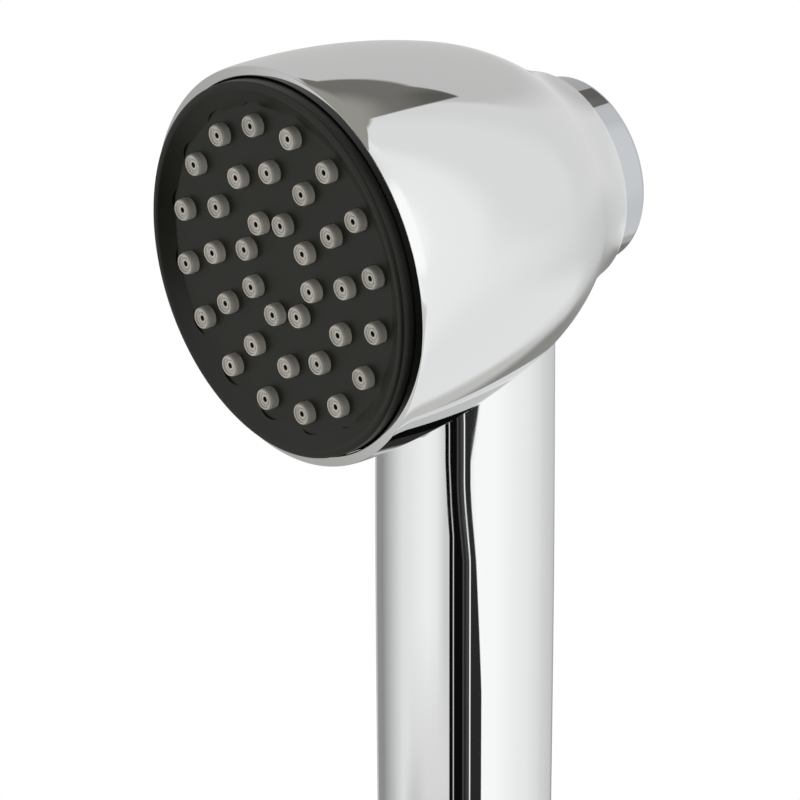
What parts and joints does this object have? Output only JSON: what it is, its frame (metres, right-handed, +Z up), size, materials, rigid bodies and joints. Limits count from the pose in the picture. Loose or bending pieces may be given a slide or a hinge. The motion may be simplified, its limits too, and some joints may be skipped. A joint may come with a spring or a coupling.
{
  "type": "hand shower sprayer",
  "caption": "Chrome hand sprayer: bell head with a nozzle face, a push button valve in its back and a tubular handle with a half-inch pipe thread.",
  "frame": {"origin": "centre of the inlet's open end, on the handle's axis", "axes": "+Z up the handle towards the head; the nozzle face looks to -Y and 10 degrees down; +X to the side"},
  "size_m": [0.063, 0.0694, 0.2018],
  "materials": {
    "head_chrome": "polished",
    "handle_chrome": "polished",
    "button_chrome": "polished, darker plating",
    "inlet_chrome": "polished",
    "face_plastic": "fine satin moulding",
    "nozzle_silicone": "matte",
    "valve_brass": "turned",
    "seal_rubber": "matte",
    "spring_steel": "drawn wire",
    "stem_steel": "turned",
    "white_plastic": "moulded",
    "grey_plastic": "moulded",
    "blue_plastic": "moulded",
    "pipe_plastic": "extruded",
    "fibre_red": "pressed fibre"
  },
  "bodies": {
    "sprayer": {"head_shell": "head_chrome", "handle_tube": "handle_chrome", "face_plate": "face_plastic", "nozzle_mat": "nozzle_silicone", "flow_spreader": "white_plastic", "spray_chamber": "grey_plastic", "shell_gasket": "seal_rubber", "valve_body": "valve_brass", "body_ring": "seal_rubber", "seat_ring": "stem_steel", "gland_nut": "valve_brass", "gland_ring": "seal_rubber", "stem_seal": "seal_rubber", "return_spring": "spring_steel", "neck_nipple": "valve_brass", "neck_washer": "fibre_red", "nipple_ring": "seal_rubber", "water_pipe": "pipe_plastic", "pipe_rings": "seal_rubber", "inlet_connector": "inlet_chrome", "connector_ring": "seal_rubber", "inlet_screen": "stem_steel", "check_housing": "white_plastic", "housing_ring": "seal_rubber", "check_spring": "spring_steel"},
    "button": {"push_button": "button_chrome", "valve_stem": "stem_steel", "seat_disc": "seal_rubber"},
    "poppet": {"check_poppet": "blue_plastic", "poppet_ring": "seal_rubber"}
  },
  "joints": [
    {"name": "button_press", "type": "slide", "parent": "sprayer", "child": "button", "axis": [0, -0.9848, -0.1736], "range_m": [0, 0.004], "stiffness_N_per_m": 1200, "springref_m": -0.006, "deforming": ["return_spring"]},
    {"name": "poppet_lift", "type": "slide", "parent": "sprayer", "child": "poppet", "axis": [0, 0, 1], "range_m": [0, 0.0025], "stiffness_N_per_m": 60, "springref_m": -0.003, "deforming": ["check_spring"]}
  ]
}
